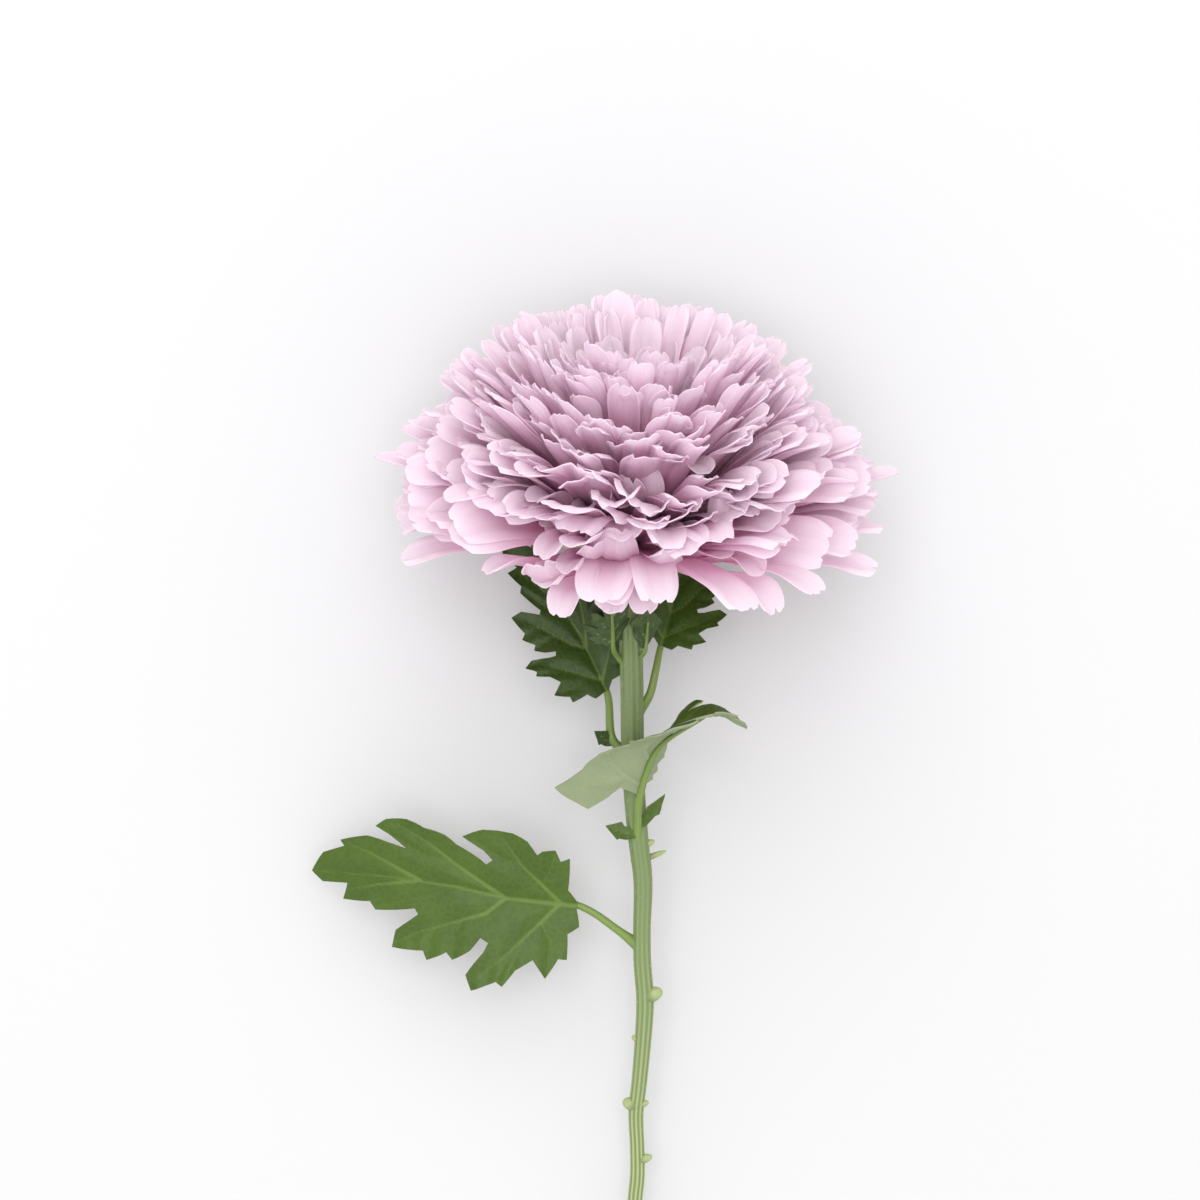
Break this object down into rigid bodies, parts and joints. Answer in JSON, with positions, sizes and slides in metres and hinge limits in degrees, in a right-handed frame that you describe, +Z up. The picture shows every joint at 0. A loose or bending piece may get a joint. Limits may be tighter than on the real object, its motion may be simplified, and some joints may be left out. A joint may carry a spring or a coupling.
{
  "type": "cut chrysanthemum",
  "caption": "Cut disbud chrysanthemum lying on its side: a full round head of layered ray petals on a slender ribbed stem with lobed leaves, for arranging or decoration.",
  "frame": {"origin": "on the surface that the flower lies on, under the middle of its width and length", "axes": "+Y along the stem towards the bloom, +Z up off the surface, +X to the right as seen from above with the bloom at the top"},
  "size_m": [0.1438, 0.2866, 0.1061],
  "materials": {
    "petals": "soft, finely veined petal, pale pink with paler edges",
    "calyx": "dull green bracts",
    "stem": "ribbed pale green stalk with fine hairs",
    "leaves": "dull dark green above, paler grey-green below"
  },
  "bodies": {
    "root": {"bloom": "petals", "calyx": "calyx", "stem": "stem", "leaf_lower": "leaves", "leaf_front": "leaves", "leaf_left": "leaves", "leaf_right": "leaves", "leaf_neck": "leaves", "bract_left": "leaves", "bract_right": "leaves"}
  },
  "joints": []
}
